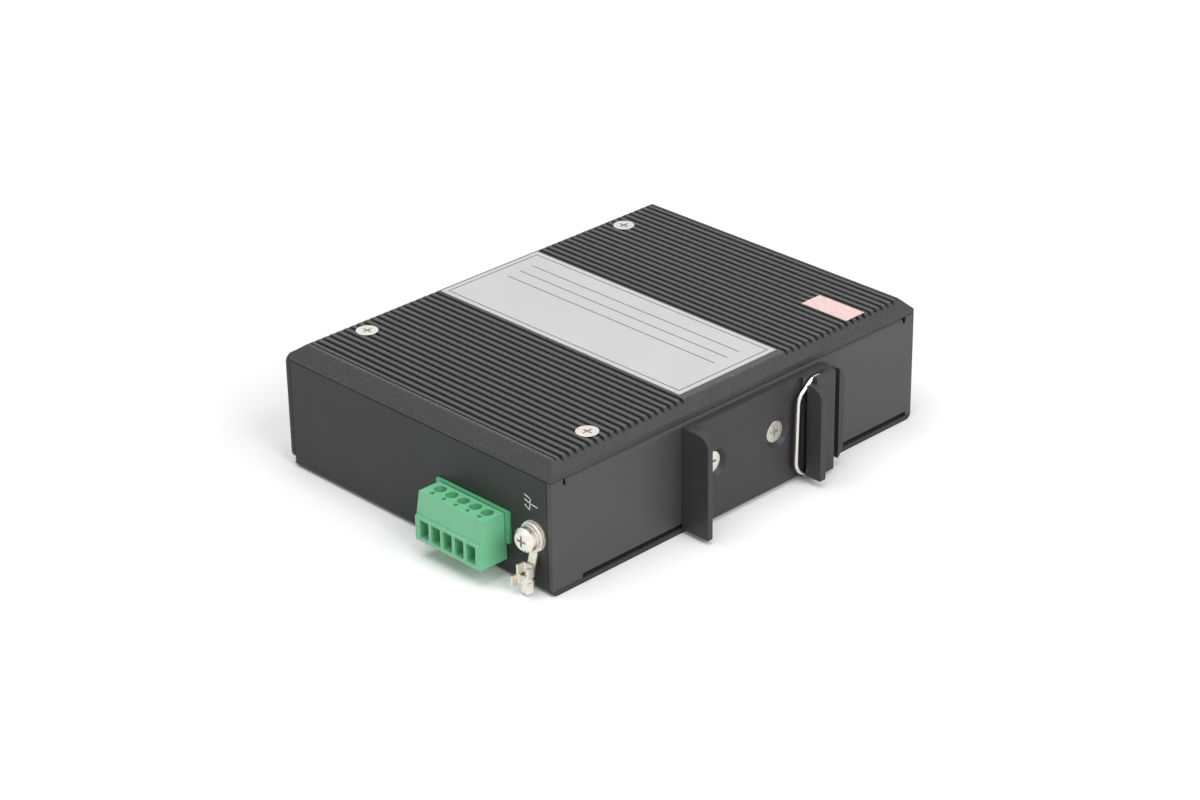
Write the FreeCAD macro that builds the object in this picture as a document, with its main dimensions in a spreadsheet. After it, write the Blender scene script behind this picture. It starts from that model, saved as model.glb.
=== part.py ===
import FreeCAD, Part
import os
import re
import Sketcher
from FreeCAD import Placement, Rotation, Vector

# DIN rail ethernet switch lying on its base sheet, in millimetres.
# +Z points out of the ribbed cover, +X to the terminal side, +Y to the rail side, and the
# origin is the middle of the underside of the base sheet.

os.makedirs("parts", exist_ok=True)
doc = FreeCAD.newDocument("DinRailSwitch")
sheet = doc.addObject("Spreadsheet::Sheet", "Sizes")

SIZES = {
    # housing sheet metal
    "housing_length": 119.0,
    "housing_depth": 87.6,
    "sheet_gauge": 1.2,
    "bend_radius": 1.6,
    "seam_gap": 0.2,
    "flange_reach": 11.6,
    "flange_top": 28.0,
    "panel_gap": 0.15,
    "relief_width": 0.9,
    "relief_depth": 1.7,
    "flange_terminal_inset": 4.6,
    "flange_blank_inset": 3.9,
    "slot_terminal_inset": 9.1,
    "slot_blank_inset": 1.9,
    "foot_inset": 4.5,
    "foot_height": 9.0,
    # front plate and its frame
    "face_gauge": 1.2,
    "face_lap": 0.9,
    "face_bottom": 1.75,
    "face_corner": 2.0,
    "frame_window_drop": 3.0,
    "frame_window_rise": 2.7,
    # ribbed cover
    "cover_rise": 4.0,
    "cover_front_setback": 0.6,
    "cover_side_inset": 3.0,
    "cover_side_band": 0.9,
    "cover_rear_inset": 2.5,
    "cover_rear_band": 1.3,
    "cover_front_inset": 3.0,
    "cover_front_band": 1.8,
    "cover_plate": 2.6,
    "cover_rim": 3.2,
    "rib_pitch": 2.06,
    "groove_margin": 2.2,
    "groove_width": 1.06,
    "groove_floor": 0.72,
    "groove_depth": 0.9,
    "label_margin": 1.22,
    "edge_groove_inset": 0.75,
    "edge_groove_width": 0.45,
    # cover screws
    "cover_screw_inset": 17.4,
    "cover_screw_front_inset": 7.9,
    "cover_screw_rear_inset": 6.5,
    "screw_grip": 3.6,
    "screw_radius": 1.5,
    "screw_head_radius": 2.65,
    "screw_clearance": 0.1,
    "recess_reach": 1.35,
    "recess_width": 0.55,
    "recess_depth": 0.9,
    "nut_radius": 2.9,
    "nut_height": 2.2,
    # rail bracket
    "bracket_bottom": 1.1,
    "bracket_drop": 1.3,
    "bracket_gauge": 1.8,
    "rail_width": 35.0,
    "hook_root": 2.0,
    "hook_tip": 1.5,
    "hook_reach": 6.4,
    "hook_pocket": 1.4,
    "hook_nose": 0.4,
    "hook_catch": 2.0,
    "hook_corner": 3.2,
    "lip_gauge": 1.9,
    "lip_reach": 6.7,
    "lip_top_drop": 1.5,
    "lip_foot": 0.8,
    "lip_corner": 3.0,
    "channel_floor": 1.0,
    "wire_play": 0.2,
    "cleat_web_offset": 4.1,
    "cleat_web_gauge": 1.8,
    "cleat_gauge": 1.2,
    "cleat_reach": 6.4,
    "stop_offset": 11.1,
    "stop_gauge": 1.8,
    "bracket_corner": 5.0,
    "notch_height": 3.6,
    "notch_width": 1.7,
    "notch_drop": 9.1,
    "bracket_screw_span": 20.7,
    "bracket_screw_middle": 0.25,
    "bracket_screw_rise": 1.1,
    "bracket_sink_radius": 3.7,
    "bracket_screw_reach": 6.0,
    # rail spring
    "wire_radius": 0.55,
    "wire_sides": 12,
    "wire_low_inset": 0.9,
    "wire_high_inset": 0.8,
    "wire_bow_offset": 2.9,
    "wire_shoulder_offset": 2.3,
    "wire_back_offset": 6.9,
    "wire_bend": 3.0,
    "wire_knee": 4.6,
    "wire_lean": 0.6,
    "wire_slope_drop": 3.6,
    "wire_ends_gap": 4.0,
    "wire_room": 0.25,
    # circuit board
    "board_gauge": 1.6,
    "board_height": 6.8,
    "board_edge_gap": 1.0,
    "board_front_inset": 1.9,
    "board_rear_inset": 3.2,
    "standoff_inset": 8.0,
    "standoff_depth_inset": 8.3,
    "standoff_radius": 2.8,
    "standoff_shank": 2.0,
    "standoff_recess": 0.3,
    "board_screw_head": 2.7,
    "board_screw_rise": 1.8,
    "board_screw_reach": 5.0,
    # network jacks
    "jack_pitch": 18.0,
    "jack_middle": -2.0,
    "jack_width": 15.4,
    "jack_height": 12.9,
    "jack_depth": 20.6,
    "jack_nose": 0.2,
    "jack_shield": 0.25,
    "jack_mouth_width": 11.9,
    "jack_mouth_height": 6.9,
    "jack_mouth_base": 4.3,
    "jack_mouth_depth": 14.0,
    "jack_latch_width": 6.2,
    "jack_latch_drop": 1.7,
    "jack_tab_width": 3.4,
    "jack_tab_drop": 1.2,
    "window_gap": 0.35,
    "contact_pitch": 1.02,
    "contact_width": 0.46,
    "contact_setback": 2.0,
    "contact_drop": 1.9,
    "transformer_length": 15.0,
    "transformer_width": 8.6,
    "transformer_height": 5.6,
    "transformer_gap": 3.0,
    # power terminal
    "pole_pitch": 3.81,
    "terminal_inset": 24.6,
    "plug_end_width": 5.91,
    "plug_reach": 8.3,
    "plug_drop": 4.2,
    "plug_top_drop": 0.45,
    "plug_ledge_rise": 6.0,
    "plug_ledge_step": 0.5,
    "plug_slope": 1.0,
    "plug_wall_gap": 0.3,
    "plug_rim_gap": 0.15,
    "entry_width": 2.85,
    "entry_lift": 0.9,
    "entry_height": 4.45,
    "entry_depth": 7.0,
    "entry_corner": 0.35,
    "well_reach": 3.1,
    "well_radius": 1.45,
    "well_depth": 4.2,
    "test_hole_reach": 5.5,
    "test_hole_side": 1.0,
    "test_hole_depth": 1.6,
    "header_lap": 2.25,
    "header_lift": 0.2,
    "header_height": 7.8,
    "header_rim": 0.7,
    "header_depth": 11.0,
    "header_side_wall": 1.25,
    "header_wall": 1.0,
    "header_back": 2.0,
    "plug_fit": 0.12,
    "pin_side": 1.0,
    "pin_reach": 6.0,
    "pin_rise": 3.8,
    "socket_width": 2.2,
    "socket_depth": 6.2,
    "contact_gauge": 0.4,
    "clamp_head_radius": 1.3,
    "clamp_head_height": 1.4,
    "clamp_slot_width": 0.5,
    "clamp_slot_depth": 0.6,
    "cage_length": 3.0,
    "cage_width": 2.75,
    "cage_height": 4.0,
    "cage_gauge": 0.5,
    # ground terminal
    "ground_inset": 5.3,
    "ground_height": 13.6,
    "ground_head_radius": 2.9,
    "ground_head_height": 2.3,
    "ground_screw_reach": 6.5,
    "spring_washer_radius": 3.05,
    "spring_washer_gauge": 0.8,
    "flat_washer_radius": 3.5,
    "flat_washer_gauge": 0.5,
    "lug_gauge": 0.5,
    "lug_ring_radius": 3.6,
    "lug_neck": 2.3,
    "lug_bend_drop": 0.5,
    "lug_overlap": 1.7,
    "lug_fall": 13.1,
    "wire_ear_fall": 8.8,
    "sleeve_ear_fall": 11.7,
    "lug_ear_height": 2.4,
    "lug_ear_rise": 2.4,
    "lug_ear_bend": 0.9,
    "lug_wire_reach": 1.9,
    "lug_sleeve_reach": 2.8,
    "lug_lift": 3.0,
    "lug_bend": 2.4,
    # parts on the board
    "chip_side": 14.0,
    "chip_place": -6.0,
    "chip_depth_place": 6.0,
    "chip_height": 1.4,
    "pad_gauge": 0.6,
    "coil_side": 10.0,
    "coil_height": 5.4,
    "coil_inset": 21.5,
    "coil_depth_place": 20.0,
    "capacitor_radius": 4.0,
    "capacitor_height": 11.0,
    "capacitor_depth_place": 6.0,
    "capacitor_pitch": 10.0,
    "lamp_pitch": 4.5,
    "lamp_radius": 1.25,
    "lamp_rise": 8.6,
    "lamp_inset": 9.0,
    "lamp_nose": 0.2,
    "lamp_holder_width": 5.4,
    "lamp_holder_depth": 2.4,
    # prints stuck on the cover
    "label_end_margin": 8.4,
    "label_width": 31.7,
    "label_gauge": 0.12,
    "seal_length": 6.4,
    "seal_width": 13.9,
    "seal_offset": 3.3,
    "seal_shift": 0.55,
}

# places and sizes that follow from the ones above
FOLLOWS = {
    "wall_height": "flange_top - seam_gap",
    "panel_top": "flange_top - panel_gap",
    "cover_height": "flange_top + cover_rise",
    "face_top": "flange_top + face_lap",
    "flange_terminal_end": "housing_length/2 - flange_terminal_inset",
    "flange_blank_end": "housing_length/2 - flange_blank_inset",
    "slot_terminal_end": "housing_length/2 - slot_terminal_inset",
    "slot_blank_end": "housing_length/2 - slot_blank_inset",
    "foot_end": "housing_length/2 - foot_inset",
    "frame_window_bottom": "board_height + board_gauge - frame_window_drop",
    "frame_window_top": "board_height + board_gauge + jack_height + frame_window_rise",
    "cover_screw_span": "housing_length - 2*cover_screw_inset",
    "cover_screw_front": "housing_depth/2 - cover_screw_front_inset",
    "cover_screw_rear": "housing_depth/2 - cover_screw_rear_inset",
    "cover_screw_reach": "cover_rise + screw_grip",
    "groove_room": "housing_length/2 - cover_side_inset - first_groove - groove_margin",
    "groove_count": "floor(groove_room/rib_pitch) + 1",
    "first_groove": "label_width/2 + label_margin",
    "edge_groove_place": "housing_length/2 - cover_side_inset - edge_groove_inset",
    "bracket_top": "flange_top - bracket_drop",
    "lip_top": "bracket_top - lip_top_drop",
    "lip_bottom": "bracket_bottom + lip_foot",
    "cleat_web_place": "rail_width/2 + cleat_web_offset",
    "stop_place": "rail_width/2 + stop_offset",
    "channel_gap": "2*wire_radius + wire_play",
    "notch_place": "bracket_top - notch_drop",
    "bracket_screw_height": "(bracket_bottom + bracket_top)/2 + bracket_screw_rise",
    "wire_low": "bracket_bottom + wire_low_inset",
    "wire_high": "bracket_top - wire_high_inset",
    "wire_back": "rail_width/2 + wire_back_offset",
    "wire_bow": "rail_width/2 - wire_bow_offset",
    "wire_shoulder": "rail_width/2 + wire_shoulder_offset",
    "board_front": "housing_depth/2 - board_front_inset",
    "board_rear": "housing_depth/2 - board_rear_inset",
    "standoff_span": "housing_length - 2*standoff_inset",
    "standoff_depth_span": "housing_depth - 2*standoff_depth_inset",
    "lamp_place": "housing_length/2 - lamp_inset",
    "lamp_height": "board_height + board_gauge + lamp_rise",
    "coil_place": "housing_length/2 - coil_inset",
    "capacitor_place": "housing_length/2 - coil_inset",
    "terminal_middle": "housing_depth/2 - terminal_inset",
    "plug_width": "4*pole_pitch + plug_end_width",
    "plug_front": "housing_length/2 + plug_reach",
    "plug_base": "header_base - plug_drop",
    "plug_top": "header_top - plug_top_drop",
    "plug_ledge": "plug_base + plug_ledge_rise",
    "entry_base": "plug_base + entry_lift",
    "entry_top": "entry_base + entry_height",
    "well_place": "housing_length/2 + well_reach",
    "test_hole_place": "housing_length/2 + test_hole_reach",
    "header_width": "plug_width + header_lap",
    "header_base": "board_height + board_gauge + header_lift",
    "header_top": "header_base + header_height",
    "pin_height": "header_base + pin_rise",
    "ground_place": "housing_depth/2 - ground_inset",
    "lug_tip": "ground_height - lug_fall",
    "lug_wire_ears": "ground_height - wire_ear_fall",
    "lug_sleeve_ears": "ground_height - sleeve_ear_fall",
    "label_length": "housing_depth - label_end_margin",
    "seal_middle": "cover_screw_rear - seal_offset",
}

for row, (alias, number) in enumerate(SIZES.items(), start=1):
    sheet.set(f"A{row}", alias.replace("_", " "))
    sheet.set(f"B{row}", str(number))
    sheet.setAlias(f"B{row}", alias)
doc.recompute()

finished = []


def formula(text):
    """Turn a formula in plain size names into one that reads the sheet."""
    def named(word):
        name = word.group()
        if name in FOLLOWS:
            return f"({formula(FOLLOWS[name])})"
        return "Sizes." + name if name in SIZES else name
    return re.sub(r"[a-z_]+", named, str(text))


def value(text):
    """The number that a formula gives now."""
    return float(sheet.evalExpression(formula(text)))


def bind(item, formulas):
    for path, text in formulas.items():
        item.setExpression(path, formula(text))


def finish(item, label):
    """Name a finished sub-part; its label names its file."""
    item.Label = label
    finished.append(item)
    return item


# ---- Part workbench helpers -------------------------------------------------------------------

def place_at(item, corner):
    for path, text in zip("xyz", corner):
        item.setExpression(f"Placement.Base.{path}", formula(text))


def block(name, corner, extents):
    """A box from its lowest corner and its three extents."""
    item = doc.addObject("Part::Box", name)
    bind(item, {"Length": extents[0], "Width": extents[1], "Height": extents[2]})
    place_at(item, corner)
    return item


TURNS = {
    "+Z": Rotation(),
    "-Z": Rotation(Vector(1, 0, 0), 180),
    "+X": Rotation(Vector(0, 1, 0), 90),
    "-X": Rotation(Vector(0, 1, 0), -90),
    "+Y": Rotation(Vector(1, 0, 0), -90),
    "-Y": Rotation(Vector(1, 0, 0), 90),
}


def rod(name, foot, radius, length, along="+Z"):
    """A cylinder that starts at its foot and runs along a row axis."""
    item = doc.addObject("Part::Cylinder", name)
    item.Placement.Rotation = TURNS[along]
    bind(item, {"Radius": radius, "Height": length})
    place_at(item, foot)
    return item


def hexagon(name, foot, radius, height):
    """A six-sided pillar that stands up from its foot."""
    item = doc.addObject("Part::Prism", name)
    item.Polygon = 6
    bind(item, {"Circumradius": radius, "Height": height})
    place_at(item, foot)
    return item


def taper(name, foot, radius, end_radius, length, along="+Z"):
    item = doc.addObject("Part::Cone", name)
    item.Placement.Rotation = TURNS[along]
    bind(item, {"Radius1": radius, "Radius2": end_radius, "Height": length})
    place_at(item, foot)
    return item


def join(name, pieces):
    item = doc.addObject("Part::MultiFuse", name)
    item.Shapes = pieces
    item.Refine = True
    return item


def cut(name, base, tool):
    item = doc.addObject("Part::Cut", name)
    item.Base = base
    item.Tool = tool
    item.Refine = True
    return item


# ---- PartDesign helpers -----------------------------------------------------------------------

def new_body(label):
    body = doc.addObject("PartDesign::Body", label)
    return finish(body, label)


def sketch_on(body, name, plane, offset="0"):
    """A sketch on one of the body's own origin planes, moved along that plane's normal."""
    sketch = body.newObject("Sketcher::SketchObject", name)
    support = next(item for item in body.Origin.OriginFeatures if item.Role == plane)
    sketch.AttachmentSupport = [(support, "")]
    sketch.MapMode = "FlatFace"
    sketch.setExpression("AttachmentOffset.Base.z", formula(offset))
    return sketch


def hold(sketch, kind, place, text, *geometry):
    """A dimension of the sketch, driven by a formula."""
    number = sketch.addConstraint(Sketcher.Constraint(kind, *geometry, place))
    sketch.setExpression(f"Constraints[{number}]", formula(text))


def outline(sketch, corners, closed=True):
    """Straight runs between corners, each held by two formulas and rounded where it has a radius."""
    places = [(value(corner[0]), value(corner[1])) for corner in corners]
    first = sketch.GeometryCount
    runs = len(corners) if closed else len(corners) - 1
    for index in range(runs):
        start, end = places[index], places[(index + 1) % len(places)]
        sketch.addGeometry(Part.LineSegment(Vector(*start, 0), Vector(*end, 0)), False)
    for index, corner in enumerate(corners):
        ends = (first + index, 1) if index < runs else (first + runs - 1, 2)
        if closed or 0 < index < runs:
            before = first + (index - 1) % runs
            sketch.addConstraint(Sketcher.Constraint("Coincident", before, 2, first + index, 1))
        hold(sketch, "DistanceX", places[index][0], corner[0], -1, 1, *ends)
        hold(sketch, "DistanceY", places[index][1], corner[1], -1, 1, *ends)
    for index, corner in enumerate(corners):
        if len(corner) == 3:
            added = sketch.GeometryCount
            sketch.fillet(first + index, 1, value(corner[2]), True, True)
            arc = next(number for number in range(added, sketch.GeometryCount)
                       if sketch.Geometry[number].TypeId == "Part::GeomArcOfCircle")
            hold(sketch, "Radius", value(corner[2]), corner[2], arc)


def rectangle(sketch, left, bottom, right, top, *radius):
    outline(sketch, [(left, bottom, *radius), (right, bottom, *radius),
                     (right, top, *radius), (left, top, *radius)])


def circle(sketch, across, up, radius):
    centre = Vector(value(across), value(up), 0)
    number = sketch.addGeometry(Part.Circle(centre, Vector(0, 0, 1), value(radius)), False)
    hold(sketch, "DistanceX", centre.x, across, -1, 1, number, 3)
    hold(sketch, "DistanceY", centre.y, up, -1, 1, number, 3)
    hold(sketch, "Radius", value(radius), radius, number)


def pad(body, sketch, length, reverse=False):
    feature = body.newObject("PartDesign::Pad", sketch.Name + "Pad")
    feature.Profile = sketch
    feature.Reversed = reverse
    feature.setExpression("Length", formula(length))
    doc.recompute()
    return feature


def pocket(body, sketch, depth, reverse=False):
    """A pocket that is checked to remove something."""
    before = body.Shape.Volume
    feature = body.newObject("PartDesign::Pocket", sketch.Name + "Pocket")
    feature.Profile = sketch
    feature.Reversed = reverse
    feature.setExpression("Length", formula(depth))
    doc.recompute()
    if body.Shape.Volume >= before:
        raise ValueError(f"{feature.Name} cuts nothing")
    return feature


def repeat(body, feature, sketch, axis, length, count):
    """A row of copies of a feature along one axis of its sketch."""
    pattern = body.newObject("PartDesign::LinearPattern", feature.Name + "Row")
    pattern.Originals = [feature]
    pattern.Direction = (sketch, [axis])
    bind(pattern, {"Length": length, "Occurrences": count})
    body.Tip = pattern
    doc.recompute()
    return pattern


def soften(body, radius, wanted, kind="Fillet"):
    """Round or bevel the edges of the body's tip that the test picks."""
    tip = body.Tip
    names = [f"Edge{number}" for number, edge in enumerate(tip.Shape.Edges, start=1) if wanted(edge)]
    feature = body.newObject("PartDesign::" + kind, tip.Name + kind)
    feature.Base = (tip, names)
    feature.setExpression("Radius" if kind == "Fillet" else "Size", formula(radius))
    body.Tip = feature
    doc.recompute()
    return feature


def countersink(body, sketch, radius, depth, mouth_radius, reverse=False):
    """Drilled holes with a 90 degree sink, down from the sketch."""
    doc.recompute()
    feature = body.newObject("PartDesign::Hole", sketch.Name + "Sinks")
    feature.Profile = sketch
    feature.Reversed = reverse
    feature.Threaded = False
    feature.DepthType = "Dimension"
    feature.DrillPoint = "Flat"
    feature.HoleCutType = "Countersink"
    feature.HoleCutCustomValues = True
    feature.HoleCutCountersinkAngle = 90
    bind(feature, {"Diameter": f"2*({radius})", "Depth": depth, "HoleCutDiameter": f"2*({mouth_radius})"})
    doc.recompute()
    return feature


# ---- housing ------------------------------------------------------------------------------------

def build_cover():
    body = new_body("ribbed_cover")
    half = "housing_length/2"
    plan = sketch_on(body, "CoverSection", "XZ_Plane", "-housing_depth/2")
    outline(plan, [
        ("-" + half, "flange_top"),
        (half, "flange_top"),
        (half, "flange_top + cover_side_band"),
        (half + " - cover_side_inset", "cover_height"),
        ("-" + half + " + cover_side_inset", "cover_height"),
        ("-" + half, "flange_top + cover_side_band"),
    ])
    pad(body, plan, "housing_depth - cover_front_setback")
    # slanted borders along the front and the rear
    borders = sketch_on(body, "CoverBorders", "YZ_Plane", half)
    outline(borders, [
        ("housing_depth/2", "flange_top + cover_rear_band"),
        ("housing_depth/2", "cover_height"),
        ("housing_depth/2 - cover_rear_inset", "cover_height"),
    ])
    outline(borders, [
        ("cover_front_setback - housing_depth/2", "flange_top + cover_front_band"),
        ("cover_front_setback - housing_depth/2", "cover_height"),
        ("cover_front_setback - housing_depth/2 + cover_front_inset", "cover_height"),
    ])
    pocket(body, borders, "housing_length")
    # hollow underside inside a seating rim
    hollow = sketch_on(body, "CoverHollow", "XY_Plane", "flange_top")
    rectangle(hollow, "cover_rim - " + half, "flange_reach - housing_depth/2 + 1",
              half + " - cover_rim", "housing_depth/2 - flange_reach - 1")
    pocket(body, hollow, "cover_height - flange_top - cover_plate", reverse=True)
    # one groove on each side of the label pad, repeated outwards
    for side, sign in (("Terminal", ""), ("Blank", "-")):
        groove = sketch_on(body, side + "Groove", "XZ_Plane", "-housing_depth/2")
        middle = f"{sign}first_groove"
        outline(groove, [
            (f"{middle} - groove_width/2", "cover_height"),
            (f"{middle} - groove_floor/2", "cover_height - groove_depth"),
            (f"{middle} + groove_floor/2", "cover_height - groove_depth"),
            (f"{middle} + groove_width/2", "cover_height"),
        ])
        first = pocket(body, groove, "housing_depth", reverse=True)
        row = repeat(body, first, groove, "H_Axis", "rib_pitch*(groove_count - 1)", "groove_count")
        row.Reversed = sign == "-"
        edge = sketch_on(body, side + "EdgeGroove", "XZ_Plane", "-housing_depth/2")
        rectangle(edge, f"{sign}edge_groove_place - edge_groove_width/2", "cover_height - groove_depth/2",
                  f"{sign}edge_groove_place + edge_groove_width/2", "cover_height")
        pocket(body, edge, "housing_depth", reverse=True)
    # countersunk holes for the four cover screws
    drill = sketch_on(body, "CoverScrewHoles", "XY_Plane", "cover_height")
    for across in ("-cover_screw_span/2", "cover_screw_span/2"):
        for along in ("-cover_screw_front", "cover_screw_rear"):
            circle(drill, across, along, "screw_radius + screw_clearance")
    countersink(body, drill, "screw_radius + screw_clearance", "cover_height - flange_top",
                "screw_head_radius + screw_clearance")
    return body


def build_shell():
    """Base sheet and its two side walls, bent from one blank."""
    body = new_body("base_shell")
    section = sketch_on(body, "ShellSection", "XZ_Plane", "-housing_depth/2")
    outline(section, [
        ("-housing_length/2", "wall_height"),
        ("-housing_length/2", "0", "bend_radius"),
        ("housing_length/2", "0", "bend_radius"),
        ("housing_length/2", "wall_height"),
        ("housing_length/2 - sheet_gauge", "wall_height"),
        ("housing_length/2 - sheet_gauge", "sheet_gauge", "bend_radius - sheet_gauge"),
        ("sheet_gauge - housing_length/2", "sheet_gauge", "bend_radius - sheet_gauge"),
        ("sheet_gauge - housing_length/2", "wall_height"),
    ])
    pad(body, section, "housing_depth")
    ends = sketch_on(body, "WallEnds", "YZ_Plane", "housing_length/2")
    rectangle(ends, "-housing_depth/2", "sheet_gauge", "2*seam_gap - housing_depth/2", "wall_height")
    rectangle(ends, "housing_depth/2 - sheet_gauge - seam_gap", "sheet_gauge",
              "housing_depth/2", "wall_height")
    pocket(body, ends, "housing_length")
    wall = sketch_on(body, "TerminalWallHoles", "YZ_Plane", "housing_length/2")
    rectangle(wall, "terminal_middle - header_width/2 - seam_gap", "header_base - seam_gap",
              "terminal_middle + header_width/2 + seam_gap", "header_top + seam_gap")
    circle(wall, "ground_place", "ground_height", "screw_radius + screw_clearance")
    pocket(body, wall, "sheet_gauge")
    floor = sketch_on(body, "StandoffHoles", "XY_Plane", "sheet_gauge")
    for across, along in standoff_places():
        circle(floor, across, along, "standoff_shank + screw_clearance")
    pocket(body, floor, "sheet_gauge")


def standoff_places():
    return [(f"{side}standoff_span/2", f"{end}standoff_depth_span/2")
            for side in ("-", "") for end in ("-", "")]


def bracket_screw_places():
    return [(f"bracket_screw_middle {side} bracket_screw_span/2", "bracket_screw_height") for side in "-+"]


def build_rear_panel():
    """Rear sheet with a bent top flange that carries two cover screws."""
    body = new_body("rear_panel")
    web = sketch_on(body, "RearWeb", "XZ_Plane", "-housing_depth/2")
    outline(web, [
        ("-housing_length/2", "sheet_gauge + screw_clearance"),
        ("housing_length/2", "sheet_gauge + screw_clearance"),
        ("housing_length/2", "panel_top"),
        ("flange_terminal_end + relief_width", "panel_top"),
        ("flange_terminal_end + relief_width", "flange_top - relief_depth"),
        ("-flange_blank_end - relief_width", "flange_top - relief_depth"),
        ("-flange_blank_end - relief_width", "panel_top"),
        ("-housing_length/2", "panel_top"),
    ])
    pad(body, web, "sheet_gauge")
    flange = sketch_on(body, "RearFlange", "YZ_Plane", "-flange_blank_end")
    outline(flange, [
        ("housing_depth/2", "flange_top", "bend_radius"),
        ("housing_depth/2", "flange_top - 2*bend_radius"),
        ("housing_depth/2 - sheet_gauge", "flange_top - 2*bend_radius"),
        ("housing_depth/2 - sheet_gauge", "flange_top - sheet_gauge", "bend_radius - sheet_gauge"),
        ("housing_depth/2 - flange_reach", "flange_top - sheet_gauge"),
        ("housing_depth/2 - flange_reach", "flange_top"),
    ])
    pad(body, flange, "flange_blank_end + flange_terminal_end")
    slot = sketch_on(body, "RearSlot", "XZ_Plane", "-housing_depth/2")
    rectangle(slot, "-slot_blank_end", "sheet_gauge", "slot_terminal_end", "2*sheet_gauge")
    pocket(body, slot, "sheet_gauge", reverse=True)
    drill = sketch_on(body, "RearFlangeHoles", "XY_Plane", "flange_top")
    for side in ("-", ""):
        circle(drill, f"{side}cover_screw_span/2", "cover_screw_rear", "screw_radius + screw_clearance")
    pocket(body, drill, "sheet_gauge")
    screws = sketch_on(body, "RearBracketHoles", "XZ_Plane", "-housing_depth/2")
    for across, up in bracket_screw_places():
        circle(screws, across, up, "bracket_sink_radius - bracket_gauge + screw_clearance")
    pocket(body, screws, "sheet_gauge", reverse=True)


def build_rear_foot():
    """Angle strip that ties the rear panel to the base sheet."""
    body = new_body("rear_foot")
    section = sketch_on(body, "FootSection", "YZ_Plane", "-foot_end")
    outline(section, [
        ("housing_depth/2 - sheet_gauge", "sheet_gauge", "bend_radius"),
        ("housing_depth/2 - sheet_gauge", "foot_height"),
        ("housing_depth/2 - 2*sheet_gauge", "foot_height"),
        ("housing_depth/2 - 2*sheet_gauge", "2*sheet_gauge", "bend_radius - sheet_gauge"),
        ("housing_depth/2 - flange_reach", "2*sheet_gauge"),
        ("housing_depth/2 - flange_reach", "sheet_gauge"),
    ])
    pad(body, section, "2*foot_end")
    holes = sketch_on(body, "FootHoles", "XY_Plane", "2*sheet_gauge")
    for across in ("-standoff_span/2", "standoff_span/2"):
        circle(holes, across, "standoff_depth_span/2", "standoff_shank + screw_clearance")
    pocket(body, holes, "sheet_gauge")


FRONT = "seam_gap - housing_depth/2"
JACK_FRONT = f"{FRONT} - face_gauge - jack_nose"
BOARD_TOP = "board_height + board_gauge"


def build_front_frame():
    """Channel behind the front plate, with one window for the jacks and holes for the lamps."""
    body = new_body("front_frame")
    section = sketch_on(body, "FrameSection", "YZ_Plane", "bend_radius - housing_length/2")
    outline(section, [
        (FRONT, "sheet_gauge", "bend_radius"),
        (f"{FRONT} + flange_reach", "sheet_gauge"),
        (f"{FRONT} + flange_reach", "2*sheet_gauge"),
        (f"{FRONT} + sheet_gauge", "2*sheet_gauge", "bend_radius - sheet_gauge"),
        (f"{FRONT} + sheet_gauge", "flange_top - sheet_gauge", "bend_radius - sheet_gauge"),
        (f"{FRONT} + flange_reach", "flange_top - sheet_gauge"),
        (f"{FRONT} + flange_reach", "flange_top"),
        (FRONT, "flange_top", "bend_radius"),
    ])
    pad(body, section, "housing_length - 2*bend_radius")
    window = sketch_on(body, "FrameWindow", "XZ_Plane", "housing_depth/2 - seam_gap")
    reach = "(2*jack_pitch + jack_width/2 + jack_shield + 2*window_gap)"
    rectangle(window, f"jack_middle - {reach}", "frame_window_bottom", f"jack_middle + {reach}",
              "frame_window_top")
    for index in range(3):
        circle(window, "lamp_place", f"lamp_height + {index - 1}*lamp_pitch",
               "lamp_radius + screw_clearance")
    pocket(body, window, "sheet_gauge")
    holes = sketch_on(body, "FrameFlangeHoles", "XY_Plane", "flange_top")
    for side in ("-", ""):
        circle(holes, f"{side}cover_screw_span/2", "-cover_screw_front", "screw_radius + screw_clearance")
    pocket(body, holes, "sheet_gauge")
    feet = sketch_on(body, "FrameFootHoles", "XY_Plane", "2*sheet_gauge")
    for side in ("-", ""):
        circle(feet, f"{side}standoff_span/2", "-standoff_depth_span/2", "standoff_shank + screw_clearance")
    pocket(body, feet, "sheet_gauge")


def build_front_panel():
    """Front plate with a window for each jack and a hole for each lamp."""
    body = new_body("front_panel")
    plate = sketch_on(body, "FacePlate", "XZ_Plane", "housing_depth/2 - seam_gap")
    rectangle(plate, "-housing_length/2", "face_bottom", "housing_length/2", "face_top", "face_corner")
    pad(body, plate, "face_gauge")
    window = sketch_on(body, "JackWindow", "XZ_Plane", "housing_depth/2 - seam_gap")
    half = "(jack_width/2 + jack_shield + window_gap)"
    rectangle(window, f"jack_middle - 2*jack_pitch - {half}", f"{BOARD_TOP} - window_gap",
              f"jack_middle - 2*jack_pitch + {half}",
              f"{BOARD_TOP} + jack_height + jack_shield + window_gap")
    first = pocket(body, window, "face_gauge", reverse=True)
    repeat(body, first, window, "H_Axis", "4*jack_pitch", "5")
    lamps = sketch_on(body, "LampHoles", "XZ_Plane", "housing_depth/2 - seam_gap")
    for index in range(3):
        circle(lamps, "lamp_place", f"lamp_height + {index - 1}*lamp_pitch", "lamp_radius + screw_clearance")
    pocket(body, lamps, "face_gauge", reverse=True)


# ---- rail bracket -------------------------------------------------------------------------------

PLATE_FACE = "housing_depth/2 + bracket_gauge"


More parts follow.
